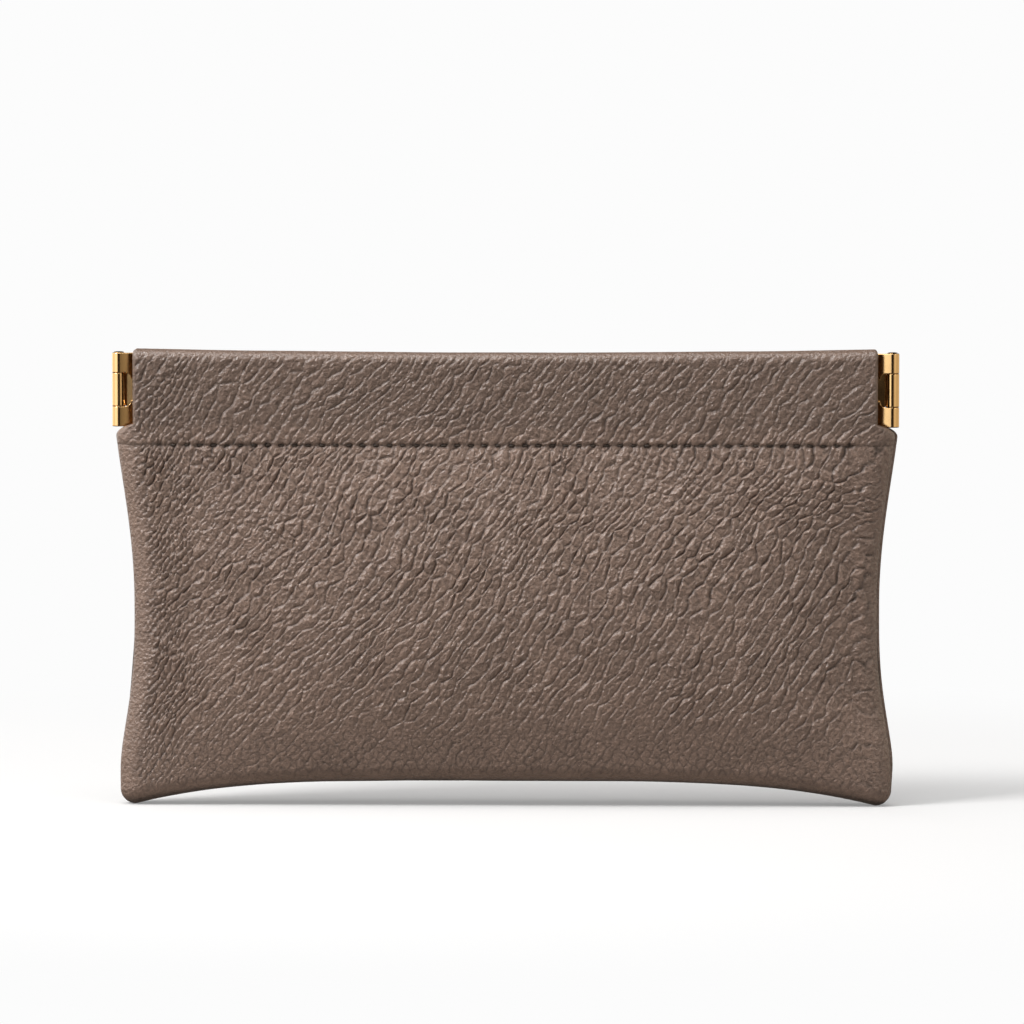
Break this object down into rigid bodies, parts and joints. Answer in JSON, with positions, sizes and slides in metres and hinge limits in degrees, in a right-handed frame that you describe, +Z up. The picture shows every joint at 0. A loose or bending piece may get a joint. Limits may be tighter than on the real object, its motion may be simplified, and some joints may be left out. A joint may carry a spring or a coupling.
{
  "type": "squeeze coin purse",
  "caption": "Flat leather squeeze purse with a spring frame in its mouth casing and brass hinges at the ends; pressing the ends bows the blades apart and opens it.",
  "frame": {"origin": "on the table under the middle of the purse, between its two standing tips", "axes": "+X along the mouth to the right seen from the front, +Y to the rear, +Z up to the mouth"},
  "size_m": [0.128, 0.0138, 0.0744],
  "materials": {
    "pouch_leather": "pebbled",
    "lining_cloth": "woven",
    "spring_steel": "rolled",
    "hinge_brass": "polished plate",
    "sewing_thread": "twisted thread"
  },
  "bodies": {
    "pouch_core": {"left_pin": "hinge_brass", "right_pin": "hinge_brass", "seam_thread": "sewing_thread"},
    "front_side": {"front_leather": "pouch_leather", "front_lining": "lining_cloth", "front_blade": "spring_steel", "front_casing_thread": "sewing_thread"},
    "rear_side": {"rear_leather": "pouch_leather", "rear_lining": "lining_cloth", "rear_blade": "spring_steel", "rear_casing_thread": "sewing_thread"},
    "front_left_hinge": {"front_left_leaf": "hinge_brass", "front_left_rivets": "hinge_brass"},
    "front_right_hinge": {"front_right_leaf": "hinge_brass", "front_right_rivets": "hinge_brass"},
    "rear_left_hinge": {"rear_left_leaf": "hinge_brass", "rear_left_rivets": "hinge_brass"},
    "rear_right_hinge": {"rear_right_leaf": "hinge_brass", "rear_right_rivets": "hinge_brass"}
  },
  "joints": [
    {"name": "front_mouth_flex", "type": "hinge", "parent": "pouch_core", "child": "front_side", "pos_m": [0, 0, 0.0045], "axis": [1, 0, 0], "range_deg": [0, 13], "stiffness_Nm_per_rad": 0.5, "springref_deg": -2.86, "deforming": ["front_leather", "front_lining", "front_blade", "front_casing_thread"]},
    {"name": "rear_mouth_flex", "type": "hinge", "parent": "pouch_core", "child": "rear_side", "pos_m": [0, 0, 0.0045], "axis": [-1, 0, 0], "range_deg": [0, 13], "stiffness_Nm_per_rad": 0.5, "springref_deg": -2.86, "deforming": ["rear_leather", "rear_lining", "rear_blade", "rear_casing_thread"]},
    {"name": "front_left_leaf_swing", "type": "hinge", "parent": "pouch_core", "child": "front_left_hinge", "pos_m": [-0.0629, 0, 0.0678], "axis": [0, 0, -1], "range_deg": [0, 8]},
    {"name": "front_right_leaf_swing", "type": "hinge", "parent": "pouch_core", "child": "front_right_hinge", "pos_m": [0.0629, 0, 0.0678], "axis": [0, 0, 1], "range_deg": [0, 8]},
    {"name": "rear_left_leaf_swing", "type": "hinge", "parent": "pouch_core", "child": "rear_left_hinge", "pos_m": [-0.0629, 0, 0.0678], "axis": [0, 0, 1], "range_deg": [0, 8]},
    {"name": "rear_right_leaf_swing", "type": "hinge", "parent": "pouch_core", "child": "rear_right_hinge", "pos_m": [0.0629, 0, 0.0678], "axis": [0, 0, -1], "range_deg": [0, 8]}
  ],
  "couplings": [
    {"joint": "rear_mouth_flex", "follows": "front_mouth_flex", "ratio": 1},
    {"joint": "front_left_leaf_swing", "follows": "front_mouth_flex", "ratio": 0.58},
    {"joint": "front_right_leaf_swing", "follows": "front_mouth_flex", "ratio": 0.58},
    {"joint": "rear_left_leaf_swing", "follows": "front_mouth_flex", "ratio": 0.58},
    {"joint": "rear_right_leaf_swing", "follows": "front_mouth_flex", "ratio": 0.58}
  ]
}
